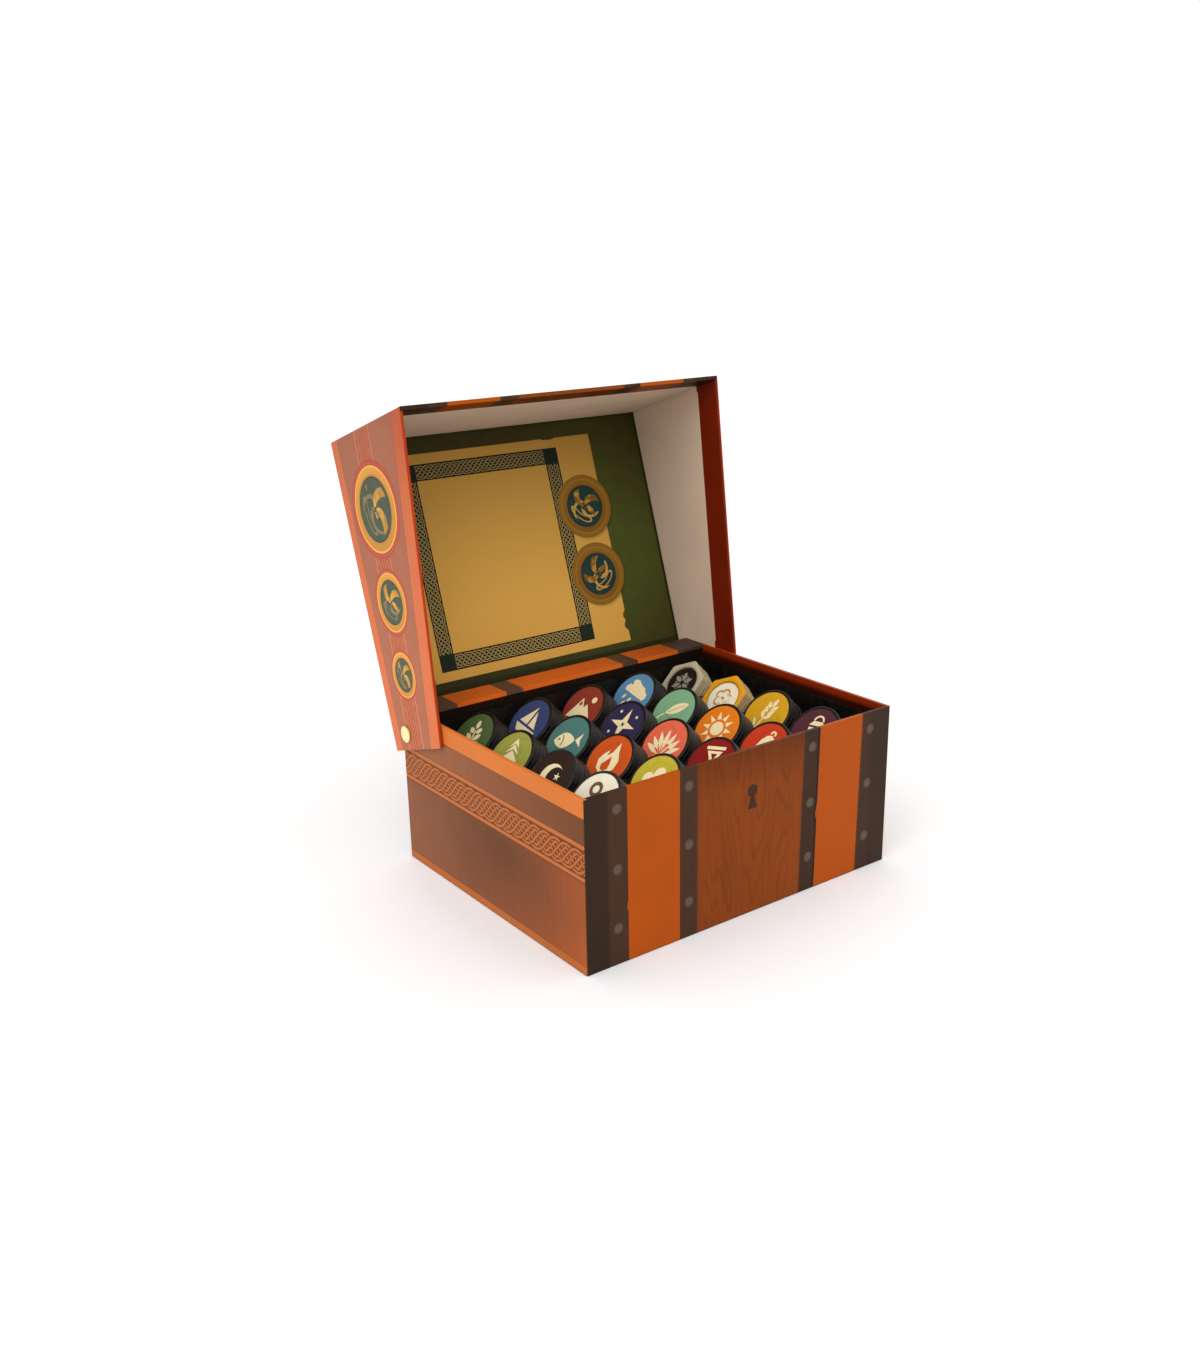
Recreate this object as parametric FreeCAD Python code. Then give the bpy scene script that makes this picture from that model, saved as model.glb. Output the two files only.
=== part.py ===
"""Board game storage box: a hinged card box with a moulded tray of leaning token stacks.

Millimetres, +Z up, +Y to the back. The origin is the middle of the box's underside.
The lid is modelled closed and then turned open about the hinge rivets, as it rests.
"""

import FreeCAD
import Part

import math
import os

V = FreeCAD.Vector

# Box, measured over its outside.
WIDTH = 210.0
DEPTH = 175.0
HEIGHT = 93.0
BOARD = 2.0
FOLD_RADIUS = 1.0

# Ledge across the top of the back, whose board drops to the floor in front of the rivet tails.
LEDGE_DEPTH = 18.5

# Lid: a panel, a front wall and two wings that taper towards the hinge.
WING_GAP = 0.8
FRONT_GAP = 1.3
REST_GAP = 0.3
WING_DEPTH_FRONT = 88.0
WING_DEPTH_REAR = 53.0
OPEN_ANGLE = 108.0
SWING_CLEARANCE = 0.6

# Printed card and lining paper inside the lid.
CARD = 0.4
CARD_MARGIN = 1.4
CARD_REAR = 18.4
LINING = 0.3
LINING_MARGIN = 1.0
TURN_IN = 17.0
PAPER_CORNER = 3.0

# Hinge rivets.
PIVOT_DROP = 14.0
RIVET_HEAD_RADIUS = 5.2
RIVET_HEAD_HEIGHT = 1.6
RIVET_CROWN_RADIUS = 3.4
RIVET_SHANK_RADIUS = 2.5
RIVET_TAIL_RADIUS = 4.4
RIVET_TAIL_HEIGHT = 0.9
BORE_CLEARANCE = 0.05
AXIAL_CLEARANCE = 0.1

# Tray: one moulded sheet with a skirt that stands on the floor of the box.
SHEET = 1.0
TRAY_GAP = 0.5
TRAY_RIM = 3.0
TRAY_RIM_DROP = 7.0
TERRACE_DROP = 18.0
TRAY_CORNER = 2.0
LIFT_GAP = 0.3

# Token stacks, which lean on the slope behind them and lie in half-round cradles.
COLUMNS = 5
ROWS = 4
LEAN = 45.0
TOKEN_RADIUS = 16.5
TOKEN_THICKNESS = 2.8
TOKENS = 5
STACK_TOP_DROP = 1.3
COLUMN_LEFT = 16.9
COLUMN_RIGHT = 31.3
CRADLE_CLEARANCE = 0.4
SEAT_GAP = 0.3

# Sides that stand for a circle where the piece repeats, and under the tray's cradles.
ROUND_SIDES = 48
UNDERSIDE_SIDES = 12

# Stacks of six-sided tiles, each with a disc in a round recess.
TILES = 6
TILE_SIDES = 6
TILE_GROOVE = 0.35
TILE_RECESS_RADIUS = 11.2
TILE_RECESS_DEPTH = 2.0
DISC_CLEARANCE = 0.3
DISC_THICKNESS = 1.5

# What stands in each pocket, by row from the back and by column from the left.
LAYOUT = (
    ("dark_green", "blue", "maroon", "light_blue", "hex_grey"),
    ("lime", "teal", "navy", "mint", "hex_gold"),
    ("black", "red_orange", "coral", "orange", "ochre"),
    ("cream", "yellow_green", "crimson", "red", "purple"),
)

# Places worked out from the sizes above.
SIDE = WIDTH / 2
BACK = DEPTH / 2
LEDGE_FRONT = BACK - LEDGE_DEPTH
PIVOT_Y = BACK - LEDGE_DEPTH / 2
PIVOT_Z = HEIGHT - PIVOT_DROP
WING_IN = SIDE + WING_GAP
WING_OUT = WING_IN + BOARD
LID_FRONT_IN = -BACK - FRONT_GAP
LID_FRONT_OUT = LID_FRONT_IN - BOARD
PANEL_IN = HEIGHT + REST_GAP + CARD
PANEL_OUT = PANEL_IN + BOARD
STACK_LENGTH = TOKENS * TOKEN_THICKNESS
CRADLE_RADIUS = TOKEN_RADIUS + CRADLE_CLEARANCE

# The tray's outside, and the sunk middle inside its rim.
TRAY_X = SIDE - BOARD - TRAY_GAP
TRAY_FRONT = -BACK + BOARD + TRAY_GAP
TRAY_BACK = LEDGE_FRONT - TRAY_GAP
TRAY_FLOOR = BOARD + LIFT_GAP
TRAY_TOP = HEIGHT - TRAY_RIM_DROP
TERRACE = HEIGHT - TERRACE_DROP
SUNK_X = TRAY_X - TRAY_RIM
SUNK_FRONT = TRAY_FRONT + TRAY_RIM
SUNK_BACK = TRAY_BACK - TRAY_RIM
COLUMN_PITCH = (2 * SUNK_X - COLUMN_LEFT - COLUMN_RIGHT) / (COLUMNS - 1)
ROW_PITCH = (SUNK_BACK - SUNK_FRONT - 2 * CRADLE_RADIUS) / (ROWS - 1)

# A stack's axis points up and to the left, and RISE points up the slope that it leans on.
LEAN_RADIANS = math.radians(LEAN)
AXIS = V(-math.sin(LEAN_RADIANS), 0, math.cos(LEAN_RADIANS))
RISE = V(math.cos(LEAN_RADIANS), 0, math.sin(LEAN_RADIANS))
FACE_Z = HEIGHT - STACK_TOP_DROP - TOKEN_RADIUS * RISE.z
REACH = WIDTH


def block(x0, x1, y0, y1, z0, z1):
    """A box between two limits on each axis."""
    return Part.makeBox(x1 - x0, y1 - y0, z1 - z0, V(x0, y0, z0))


def prism(points, direction):
    """A flat outline through the points, pushed along the direction."""
    return Part.Face(Part.makePolygon(points + points[:1])).extrude(direction)


def round_edges(solid, radius, wanted):
    """The solid with every straight edge that is wanted rounded."""
    edges = []
    for edge in solid.Edges:
        ends = [vertex.Point for vertex in edge.Vertexes]
        if len(ends) == 2 and wanted(ends[0], ends[1]):
            edges.append(edge)
    return solid.makeFillet(radius, edges)


def upright(a, b):
    """Whether an edge runs along Z."""
    return abs(a.x - b.x) + abs(a.y - b.y) < 1e-6


def pivot_bore(x0, x1):
    """A cylinder on the hinge axis that cuts the rivet's hole."""
    radius = RIVET_SHANK_RADIUS + BORE_CLEARANCE
    return Part.makeCylinder(radius, x1 - x0, V(x0, PIVOT_Y, PIVOT_Z), V(1, 0, 0))


def box_block():
    """The box's outside, with its four upright folds rounded."""
    solid = block(-SIDE, SIDE, -BACK, BACK, 0, HEIGHT)
    return round_edges(solid, FOLD_RADIUS, upright)


def ledge_space():
    """Where the ledge's top board lies, over the rims of three walls."""
    return block(-SIDE, SIDE, LEDGE_FRONT, BACK, HEIGHT - BOARD, HEIGHT)


def base_shell():
    """Floor and four walls, cut down at the back for the ledge."""
    inner = SIDE - BOARD
    cavity = block(-inner, inner, -BACK + BOARD, BACK - BOARD, BOARD, HEIGHT)
    bore = pivot_bore(-SIDE - BOARD, SIDE + BOARD)
    return box_block().cut(cavity).cut(ledge_space()).cut(bore)


def rear_ledge():
    """The ledge's top board and the board that drops from its front edge to the floor."""
    inner = SIDE - BOARD
    drop = block(-inner, inner, LEDGE_FRONT, LEDGE_FRONT + BOARD, BOARD, HEIGHT - BOARD)
    return box_block().common(ledge_space()).fuse(drop).removeSplitter()


def hinge_rivet(side):
    """One turned rivet: tail, shank, the shoulder between the boards, neck and low head."""
    shoulder = SIDE + WING_GAP - AXIAL_CLEARANCE
    under_head = WING_OUT + AXIAL_CLEARANCE
    tail = SIDE - BOARD
    top = under_head + RIVET_HEAD_HEIGHT
    outline = [
        V(tail - RIVET_TAIL_HEIGHT, 0, 0),
        V(tail - RIVET_TAIL_HEIGHT, RIVET_TAIL_RADIUS, 0),
        V(tail, RIVET_TAIL_RADIUS, 0),
        V(tail, RIVET_SHANK_RADIUS, 0),
        V(SIDE, RIVET_SHANK_RADIUS, 0),
        V(SIDE, RIVET_HEAD_RADIUS, 0),
        V(shoulder, RIVET_HEAD_RADIUS, 0),
        V(shoulder, RIVET_SHANK_RADIUS, 0),
        V(under_head, RIVET_SHANK_RADIUS, 0),
        V(under_head, RIVET_HEAD_RADIUS, 0),
        V(top, RIVET_CROWN_RADIUS, 0),
        V(top, 0, 0),
    ]
    profile = Part.Face(Part.makePolygon(outline + outline[:1]))
    rivet = profile.revolve(V(0, 0, 0), V(1, 0, 0), 360)
    if side < 0:
        rivet = rivet.mirror(V(0, 0, 0), V(1, 0, 0))
    rivet.translate(V(0, PIVOT_Y, PIVOT_Z))
    return rivet


def opened(solid):
    """A piece of the closed lid turned to where the open lid rests."""
    turned = solid.copy()
    turned.rotate(V(0, PIVOT_Y, PIVOT_Z), V(1, 0, 0), -OPEN_ANGLE)
    return turned


def wing_outline(x, inset=0.0):
    """The wing's four corners on the closed lid, its slanting rim drawn in by the inset."""
    return [
        V(x, LID_FRONT_OUT, PANEL_OUT),
        V(x, BACK, PANEL_OUT),
        V(x, BACK, PANEL_OUT - WING_DEPTH_REAR + inset),
        V(x, LID_FRONT_OUT, PANEL_OUT - WING_DEPTH_FRONT + inset),
    ]


def panel_rear():
    """How far back the panel runs and still swings over the back edge of the box."""
    corner = math.hypot(BACK - PIVOT_Y, HEIGHT - PIVOT_Z) + SWING_CLEARANCE
    return PIVOT_Y - math.sqrt(corner**2 - (PANEL_IN - PIVOT_Z) ** 2)


def lid_shell():
    """Panel, front wall and two wings folded from one board, with no wall at the back."""

    def outer_fold(a, b):
        across = abs(a.x - b.x) > WIDTH and a.y < 0 and a.z > HEIGHT
        along = abs(a.y - b.y) > DEPTH and a.z > HEIGHT and b.z > HEIGHT
        front_corner = upright(a, b) and a.y < 0
        return across or along or front_corner

    solid = prism(wing_outline(-WING_OUT), V(2 * WING_OUT, 0, 0))
    solid = round_edges(solid, FOLD_RADIUS, outer_fold)
    hollow = block(-WING_IN, WING_IN, LID_FRONT_IN, 2 * BACK, -HEIGHT, PANEL_IN)
    notch = block(-WING_IN, WING_IN, panel_rear(), 2 * BACK, 0, 2 * HEIGHT)
    bore = pivot_bore(-WING_OUT - BOARD, WING_OUT + BOARD)
    return opened(solid.cut(hollow).cut(notch).cut(bore))


def lid_card():
    """The printed card on the inside of the panel."""
    x = WING_IN - CARD_MARGIN
    card = block(-x, x, LID_FRONT_IN + CARD_MARGIN, PIVOT_Y - CARD_REAR, PANEL_IN - CARD, PANEL_IN)
    return opened(round_edges(card, PAPER_CORNER, upright))


def front_lining():
    """Lining paper on the front wall, down to the printed turn-in along the rim."""

    def corner(a, b):
        return abs(a.y - b.y) > LINING / 2

    x = WING_IN - LINING - LINING_MARGIN
    low = PANEL_OUT - WING_DEPTH_FRONT + TURN_IN
    high = PANEL_IN - CARD - LINING_MARGIN
    sheet = block(-x, x, LID_FRONT_IN, LID_FRONT_IN + LINING, low, high)
    return opened(round_edges(sheet, PAPER_CORNER, corner))


def wing_lining(side):
    """Lining paper inside one wing, kept clear of the rivet's shoulder."""

    def corner(a, b):
        return abs(a.x - b.x) > LINING / 2

    x = WING_IN - LINING if side > 0 else -WING_IN
    front = LID_FRONT_IN + LINING + LINING_MARGIN
    rear = PIVOT_Y - 2 * RIVET_HEAD_RADIUS
    sheet = prism(wing_outline(x, TURN_IN), V(LINING, 0, 0))
    window = block(-WIDTH, WIDTH, front, rear, 0, PANEL_IN - CARD - LINING_MARGIN)
    return opened(round_edges(sheet.common(window), PAPER_CORNER, corner))


def face_centre(row, column):
    """The middle of the top face of the stack in one pocket."""
    x = -SUNK_X + COLUMN_LEFT + column * COLUMN_PITCH
    y = SUNK_BACK - CRADLE_RADIUS - row * ROW_PITCH
    return V(x, y, FACE_Z)


def pocket(row, column, growth):
    """What one pocket takes out of the tray: a half-round cradle and all the room above it.

    Growth gives the underside of the sheet, one thickness outside the pocket. It is made of
    flats that the round cradle fits inside, and runs on under the ribs between the rows.
    """
    radius = CRADLE_RADIUS + growth
    half = CRADLE_RADIUS if growth == 0 else ROW_PITCH / 2 + growth
    foot = face_centre(row, column) - AXIS * (STACK_LENGTH + SEAT_GAP + growth)
    if growth == 0:
        cradle = Part.makeCylinder(radius, REACH, foot, AXIS)
    else:
        flats = radius / math.cos(math.pi / UNDERSIDE_SIDES)
        cradle = many_sided(foot, flats, UNDERSIDE_SIDES, REACH)
    corner = foot - V(0, half, 0)
    outline = [corner, corner + AXIS * REACH, corner + (AXIS + RISE) * REACH, corner + RISE * REACH]
    return cradle.fuse(prism(outline, V(0, 2 * half, 0)))


def sunk_middle(growth):
    """The room inside the tray's rim: the shallow middle, and the pockets sunk in it."""
    x = SUNK_X + growth
    front = SUNK_FRONT - growth
    back = SUNK_BACK + growth
    inside = block(-x, x, front, back, TRAY_FLOOR + SHEET, TRAY_TOP)
    inside = round_edges(inside, TRAY_CORNER + growth, upright)
    middle = block(-x, x, front, back, TERRACE - growth, TRAY_TOP)
    pockets = [pocket(row, column, growth) for row in range(ROWS) for column in range(COLUMNS)]
    return middle.multiFuse(pockets).common(inside)


def token_tray():
    """One moulded sheet: skirt, rim, and twenty pockets whose undersides follow their shape."""
    outside = block(-TRAY_X, TRAY_X, TRAY_FRONT, TRAY_BACK, TRAY_FLOOR, TRAY_TOP)
    outside = round_edges(outside, TRAY_CORNER, upright)
    under = block(
        -TRAY_X + SHEET, TRAY_X - SHEET, TRAY_FRONT + SHEET, TRAY_BACK - SHEET, 0, TRAY_TOP - SHEET
    )
    return outside.cut(under.cut(sunk_middle(SHEET))).cut(sunk_middle(0))


def many_sided(centre, radius, sides, length):
    """A prism with equal sides on a stack's axis, one side square to the slope it leans on."""
    corners = []
    for step in range(sides):
        angle = math.pi * (2 * step + 1) / sides
        across = V(0, radius * math.sin(angle), 0)
        corners.append(centre + RISE * (radius * math.cos(angle)) + across)
    return prism(corners, AXIS * length)


def token_stack(row, column):
    """Round tokens lying face to face. Their flat sides are 0.04 mm off a circle."""
    foot = face_centre(row, column) - AXIS * STACK_LENGTH
    return many_sided(foot, TOKEN_RADIUS, ROUND_SIDES, STACK_LENGTH)


def hex_stack(row, column):
    """Six-sided tiles with a groove at each joint and a round recess in the top one."""
    top = face_centre(row, column)
    foot = top - AXIS * STACK_LENGTH
    pitch = STACK_LENGTH / TILES
    stack = many_sided(foot, TOKEN_RADIUS - TILE_GROOVE, TILE_SIDES, STACK_LENGTH)
    tiles = []
    for tile in range(TILES):
        start = foot + AXIS * (tile * pitch + (TILE_GROOVE if tile else 0))
        thickness = pitch - (TILE_GROOVE if tile else 0)
        tiles.append(many_sided(start, TOKEN_RADIUS, TILE_SIDES, thickness))
    recess = many_sided(top, TILE_RECESS_RADIUS, ROUND_SIDES, -TILE_RECESS_DEPTH)
    return stack.multiFuse(tiles).removeSplitter().cut(recess)


def hex_disc(row, column):
    """The disc that lies in a tile's recess."""
    floor = face_centre(row, column) - AXIS * TILE_RECESS_DEPTH
    return many_sided(floor, TILE_RECESS_RADIUS - DISC_CLEARANCE, ROUND_SIDES, DISC_THICKNESS)


def pieces():
    """Every node's name and shape."""
    found = {
        "base_shell": base_shell(),
        "rear_ledge": rear_ledge(),
        "hinge_rivet_left": hinge_rivet(-1),
        "hinge_rivet_right": hinge_rivet(1),
        "lid_shell": lid_shell(),
        "lid_card": lid_card(),
        "lid_lining_front": front_lining(),
        "lid_lining_left": wing_lining(-1),
        "lid_lining_right": wing_lining(1),
        "token_tray": token_tray(),
    }
    for row, names in enumerate(LAYOUT):
        for column, name in enumerate(names):
            if name.startswith("hex_"):
                found[name + "_tiles"] = hex_stack(row, column)
                found[name + "_disc"] = hex_disc(row, column)
            else:
                found["stack_" + name] = token_stack(row, column)
    return found


def main():
    os.makedirs("parts", exist_ok=True)
    for name, shape in pieces().items():
        solid = shape.Solids[0] if len(shape.Solids) == 1 else shape
        if len(shape.Solids) != 1 or not solid.isValid():
            raise RuntimeError(name + " is not one valid solid")
        solid.exportStep("parts/" + name + ".step")


main()
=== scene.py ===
"""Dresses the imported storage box: printed papers, lining, tray, rivets, tokens and tiles.

Sizes are millimetres where a comment doesn't say otherwise, and the frame is in metres.
"""

import math
import random

import bmesh
import bpy
from mathutils import Matrix, Vector


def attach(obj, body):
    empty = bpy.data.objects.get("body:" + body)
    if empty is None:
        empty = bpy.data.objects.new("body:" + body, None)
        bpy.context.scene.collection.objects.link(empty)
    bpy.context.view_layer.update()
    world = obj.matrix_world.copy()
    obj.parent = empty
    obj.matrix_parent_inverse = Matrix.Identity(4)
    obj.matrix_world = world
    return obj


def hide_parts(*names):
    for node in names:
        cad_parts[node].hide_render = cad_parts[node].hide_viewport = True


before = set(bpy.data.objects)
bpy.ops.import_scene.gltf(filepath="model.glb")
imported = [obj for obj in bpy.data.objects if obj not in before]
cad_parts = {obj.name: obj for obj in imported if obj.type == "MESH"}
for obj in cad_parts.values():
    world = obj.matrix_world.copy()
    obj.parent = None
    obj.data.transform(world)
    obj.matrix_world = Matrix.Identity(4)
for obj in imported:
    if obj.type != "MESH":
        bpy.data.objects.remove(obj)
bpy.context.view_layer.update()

bl_info = {
    "name": "Board game storage box",
    "version": (1, 0, 0),
    "blender": (4, 5, 0),
    "location": "3D View > Sidebar > Storage Box",
    "description": "Dresses the packed box with printed paper, a black tray and token stacks",
    "category": "Object",
}

MM = 0.001

# The box and its open lid, as the part's source has them.
SIDE = 105.0
BACK = 87.5
HEIGHT = 93.0
LEDGE_FRONT = 69.0
PIVOT = (0.0, 78.25, 79.0)
LEAN_BACK = math.radians(18)
LID_UP = (0.0, math.sin(LEAN_BACK), math.cos(LEAN_BACK))
LID_OUT = (0.0, -math.cos(LEAN_BACK), math.sin(LEAN_BACK))
PANEL_DROP = 16.7
LID_TOP = 169.05
WING_OUT = 107.8
RIM_LOW, RIM_HIGH = 53.0, 88.0
LID_LOW = -9.25

# A stack's axis points up and to the left, and RISE points up the slope that it leans on.
AXIS = Vector((-math.sqrt(0.5), 0, math.sqrt(0.5)))
RISE = Vector((math.sqrt(0.5), 0, math.sqrt(0.5)))
LAYOUT = (
    ("dark_green", "blue", "maroon", "light_blue", "hex_grey"),
    ("lime", "teal", "navy", "mint", "hex_gold"),
    ("black", "red_orange", "coral", "orange", "ochre"),
    ("cream", "yellow_green", "crimson", "red", "purple"),
)


def srgb(code):
    """A colour written as a web code, as Blender's linear red, green and blue."""
    parts = [int(code[i : i + 2], 16) / 255 for i in (0, 2, 4)]
    return tuple(p / 12.92 if p <= 0.04045 else ((p + 0.055) / 1.055) ** 2.4 for p in parts)


def colour_property(name, code, description):
    return bpy.props.FloatVectorProperty(
        name=name, description=description, default=srgb(code), subtype="COLOR", min=0, max=1
    )


class Level:
    """A socket that varies over a surface. Arithmetic on a number adds its Math nodes."""

    def __init__(self, finish, socket):
        self.finish = finish
        self.socket = socket

    def __add__(self, other):
        return self.finish.math("ADD", self, other)

    __radd__ = __add__

    def __sub__(self, other):
        return self.finish.math("SUBTRACT", self, other)

    def __rsub__(self, other):
        return self.finish.math("SUBTRACT", other, self)

    def __mul__(self, other):
        return self.finish.math("MULTIPLY", self, other)

    __rmul__ = __mul__

    def __truediv__(self, other):
        return self.finish.math("DIVIDE", self, other)

    def __rtruediv__(self, other):
        return self.finish.math("DIVIDE", other, self)

    def __pow__(self, other):
        return self.finish.math("POWER", self, other)

    def __mod__(self, other):
        return self.finish.math("FLOORED_MODULO", self, other)

    def __gt__(self, other):
        return self.finish.math("GREATER_THAN", self, other)

    def __lt__(self, other):
        return self.finish.math("LESS_THAN", self, other)

    def __and__(self, other):
        return self.finish.math("MINIMUM", self, other)

    def __or__(self, other):
        return self.finish.math("MAXIMUM", self, other)

    def __invert__(self):
        return 1 - self

    def __neg__(self):
        return self * -1

    def __abs__(self):
        return self.finish.math("ABSOLUTE", self)


class Finish:
    """One material and the nodes that make its colour, gloss and relief."""

    def __init__(self, name, **constants):
        self.material = bpy.data.materials.new(name)
        self.material.use_nodes = True
        self.tree = self.material.node_tree
        self.tree.nodes.clear()
        output = self.tree.nodes.new("ShaderNodeOutputMaterial")
        self.shader = self.tree.nodes.new("ShaderNodeBsdfPrincipled")
        self.tree.links.new(self.shader.outputs["BSDF"], output.inputs["Surface"])
        for socket, value in constants.items():
            self.feed(self.shader.inputs[socket.replace("_", " ")], value)
        self.where = self.add(
            "ShaderNodeVectorMath",
            {"operation": "SCALE"},
            {0: self.add("ShaderNodeTexCoord", output="Object"), "Scale": 1000.0},
        )

    def feed(self, socket, value):
        if isinstance(value, Level):
            self.tree.links.new(value.socket, socket)
        elif socket.type == "RGBA" and len(value) == 3:
            socket.default_value = (*value, 1.0)
        else:
            socket.default_value = value

    def add(self, kind, settings=None, inputs=None, output=0):
        """Any node, from its type, its settings and what its sockets take."""
        node = self.tree.nodes.new(kind)
        for name, value in (settings or {}).items():
            setattr(node, name, value)
        for key, value in (inputs or {}).items():
            self.feed(node.inputs[key], value)
        if isinstance(output, tuple):
            return [Level(self, node.outputs[key]) for key in output]
        return Level(self, node.outputs[output])

    def math(self, operation, *values):
        return self.add("ShaderNodeMath", {"operation": operation}, dict(enumerate(values)))

    def hypot(self, across, up):
        return self.math("SQRT", across * across + up * up)

    def mix(self, mask, first, second, blend="MIX"):
        """The first colour where the mask is 0 and the second where it is 1."""
        settings = {"data_type": "RGBA", "blend_type": blend}
        return self.add("ShaderNodeMix", settings, {0: mask, 6: first, 7: second}, output=2)

    def shaded(self, colour, level):
        """The colour made darker or lighter by a number."""
        return self.add("ShaderNodeVectorMath", {"operation": "SCALE"}, {0: colour, "Scale": level})

    def dot(self, direction, origin=(0, 0, 0)):
        """How far a point lies along a direction from an origin."""
        offset = sum(a * b for a, b in zip(direction, origin))
        reach = self.add(
            "ShaderNodeVectorMath", {"operation": "DOT_PRODUCT"}, {0: self.where, 1: direction}, output=1
        )
        return reach - offset

    def xyz(self):
        return self.add("ShaderNodeSeparateXYZ", inputs={0: self.where}, output=(0, 1, 2))

    def noise(self, scale, detail=3.0, stretch=(1, 1, 1), roughness=0.5, shift=(0, 0, 0), at=None):
        """Cloudy variation about 0.5, at a scale given in turns to the millimetre."""
        place = self.add(
            "ShaderNodeVectorMath",
            {"operation": "MULTIPLY_ADD"},
            {0: at or self.where, 1: stretch, 2: shift},
        )
        inputs = {"Vector": place, "Scale": scale, "Detail": detail, "Roughness": roughness}
        return self.add("ShaderNodeTexNoise", inputs=inputs)

    def ramp(self, value, start, end):
        """0 at the start, 1 at the end and straight between."""
        inputs = {"Value": value, "From Min": start, "From Max": end}
        return self.add("ShaderNodeMapRange", {"clamp": True}, inputs)

    def between(self, value, low, high):
        return (value > low) * (value < high)

    def relief(self, height, depth):
        """Bumps of a depth in millimetres."""
        bump = self.add("ShaderNodeBump", inputs={"Height": height, "Distance": depth * MM})
        self.feed(self.shader.inputs["Normal"], bump)

    def finish(self, colour, roughness=None):
        self.feed(self.shader.inputs["Base Color"], colour)
        if roughness is not None:
            self.feed(self.shader.inputs["Roughness"], roughness)
        return self.material


def plait(finish, along, across, cut, pitch, line):
    """Slanting cords that pass over and under each other and turn back in arcs at the edges.

    The cords that rise join wide arcs at both edges and lie over all the others. The cut, where
    the arcs begin, is an odd number of eighths of the pitch.
    """
    step = pitch / 2
    sums = (along + across) / step
    turns = (along - across) / step
    sum_part, turn_part = sums % 1, turns % 1
    sum_off = abs(sum_part - 0.5) * (step * math.sqrt(0.5))
    turn_off = abs(turn_part - 0.5) * (step * math.sqrt(0.5))
    odd = ((sums - sum_part) + (turns - turn_part)) % 2 > 0.5
    over = odd | ((turns - turn_part) % 2 < 0.5)
    near = line * 0.85
    falling = (sum_off < line / 2) * ~((turn_off < near) * over)
    rising = (turn_off < line / 2) * ~((sum_off < near) * ~over)
    off = abs(across)
    upper = across > 0
    slide = along + cut + pitch * 0.375 - upper * (2 * cut + pitch * 0.25)
    small = finish.hypot((slide + step) % pitch - step, off - cut + pitch * 0.125)
    arcs = abs(small - pitch * 0.177) < line / 2
    deep = off - cut + pitch * 0.625
    sides = [(slide + shift) % (pitch * 2) - pitch for shift in (0, pitch)]
    wide = [abs(finish.hypot(side, deep) - pitch * 0.884) for side in sides]
    for (this, side), other in zip(zip(wide, sides), reversed(wide)):
        under = abs((side > 0) - upper) < 0.5
        arcs = arcs | (this < line / 2) * ~((other < near) * under)
    inside = off < cut
    return (falling | rising) * inside + arcs * ~inside


def whirl(finish, across, up, radius, turn=0.0):
    """Flames on one side and thin curling stems on the other, and how far out a point is."""
    out = finish.hypot(across, up) / radius
    angle = finish.math("ARCTAN2", up, across)
    lean = (across * math.cos(turn) + up * math.sin(turn)) / radius
    wave = finish.math("COSINE", angle * 4 + out * 4.6 + turn)
    flames = finish.between(out, 0.08, 0.86) * (wave > out * 1.5 - 0.62) * (lean > -0.1)
    curl = (angle / (2 * math.pi) * 3 - out * 1.5 + turn) % 1 - 0.5
    stems = (abs(curl) * out < 0.06) * finish.between(out, 0.2, 0.8) * (lean < 0.16)
    loop = finish.hypot(lean + 0.52, out - 0.6)
    stems = stems | (abs(loop - 0.17) < 0.035) * (lean < -0.2)
    return flames, stems * ~flames, out


def medallion(finish, base, across, up, radius, colours, turn=0.0):
    """A round badge painted over the base colour: outer ring, gold ring, dark disc, whirl."""
    outer, gold, disc, flame, stem = colours
    flames, stems, out = whirl(finish, across, up, radius * 0.66, turn)
    flame_paint = finish.mix(finish.ramp(out, 0.15, 0.8), flame, finish.shaded(flame, 0.62))
    flame_paint = finish.mix(finish.ramp(finish.noise(0.25, 2.0), 0.5, 0.6) * 0.6, flame_paint, stem)
    out = out * 0.66
    lit = finish.ramp(up / radius, -1.0, 1.0)
    ring = finish.mix(lit, finish.shaded(gold, 0.72), gold)
    ring = finish.mix(finish.between(out, 0.84, 0.881), ring, finish.shaded(gold, 1.3))
    ring = finish.mix(finish.between(out, 0.66, 0.71), ring, finish.shaded(gold, 0.72))
    paint = finish.mix(out < 1.0, base, outer)
    paint = finish.mix(finish.between(out, 0.95, 1.0), paint, finish.shaded(outer, 0.84))
    paint = finish.mix(finish.between(out, 0.881, 0.905), paint, finish.shaded(outer, 0.76))
    paint = finish.mix(out < 0.881, paint, ring)
    shaded_disc = finish.shaded(disc, 0.8 + finish.noise(0.2, 3.0) * 0.4)
    inner = finish.mix(stems * 0.85, shaded_disc, stem)
    inner = finish.mix(flames, inner, flame_paint)
    paint = finish.mix(out < 0.66, paint, inner)
    return finish.mix(finish.between(out, 0.64, 0.665), paint, finish.shaded(disc, 0.5)), out


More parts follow.
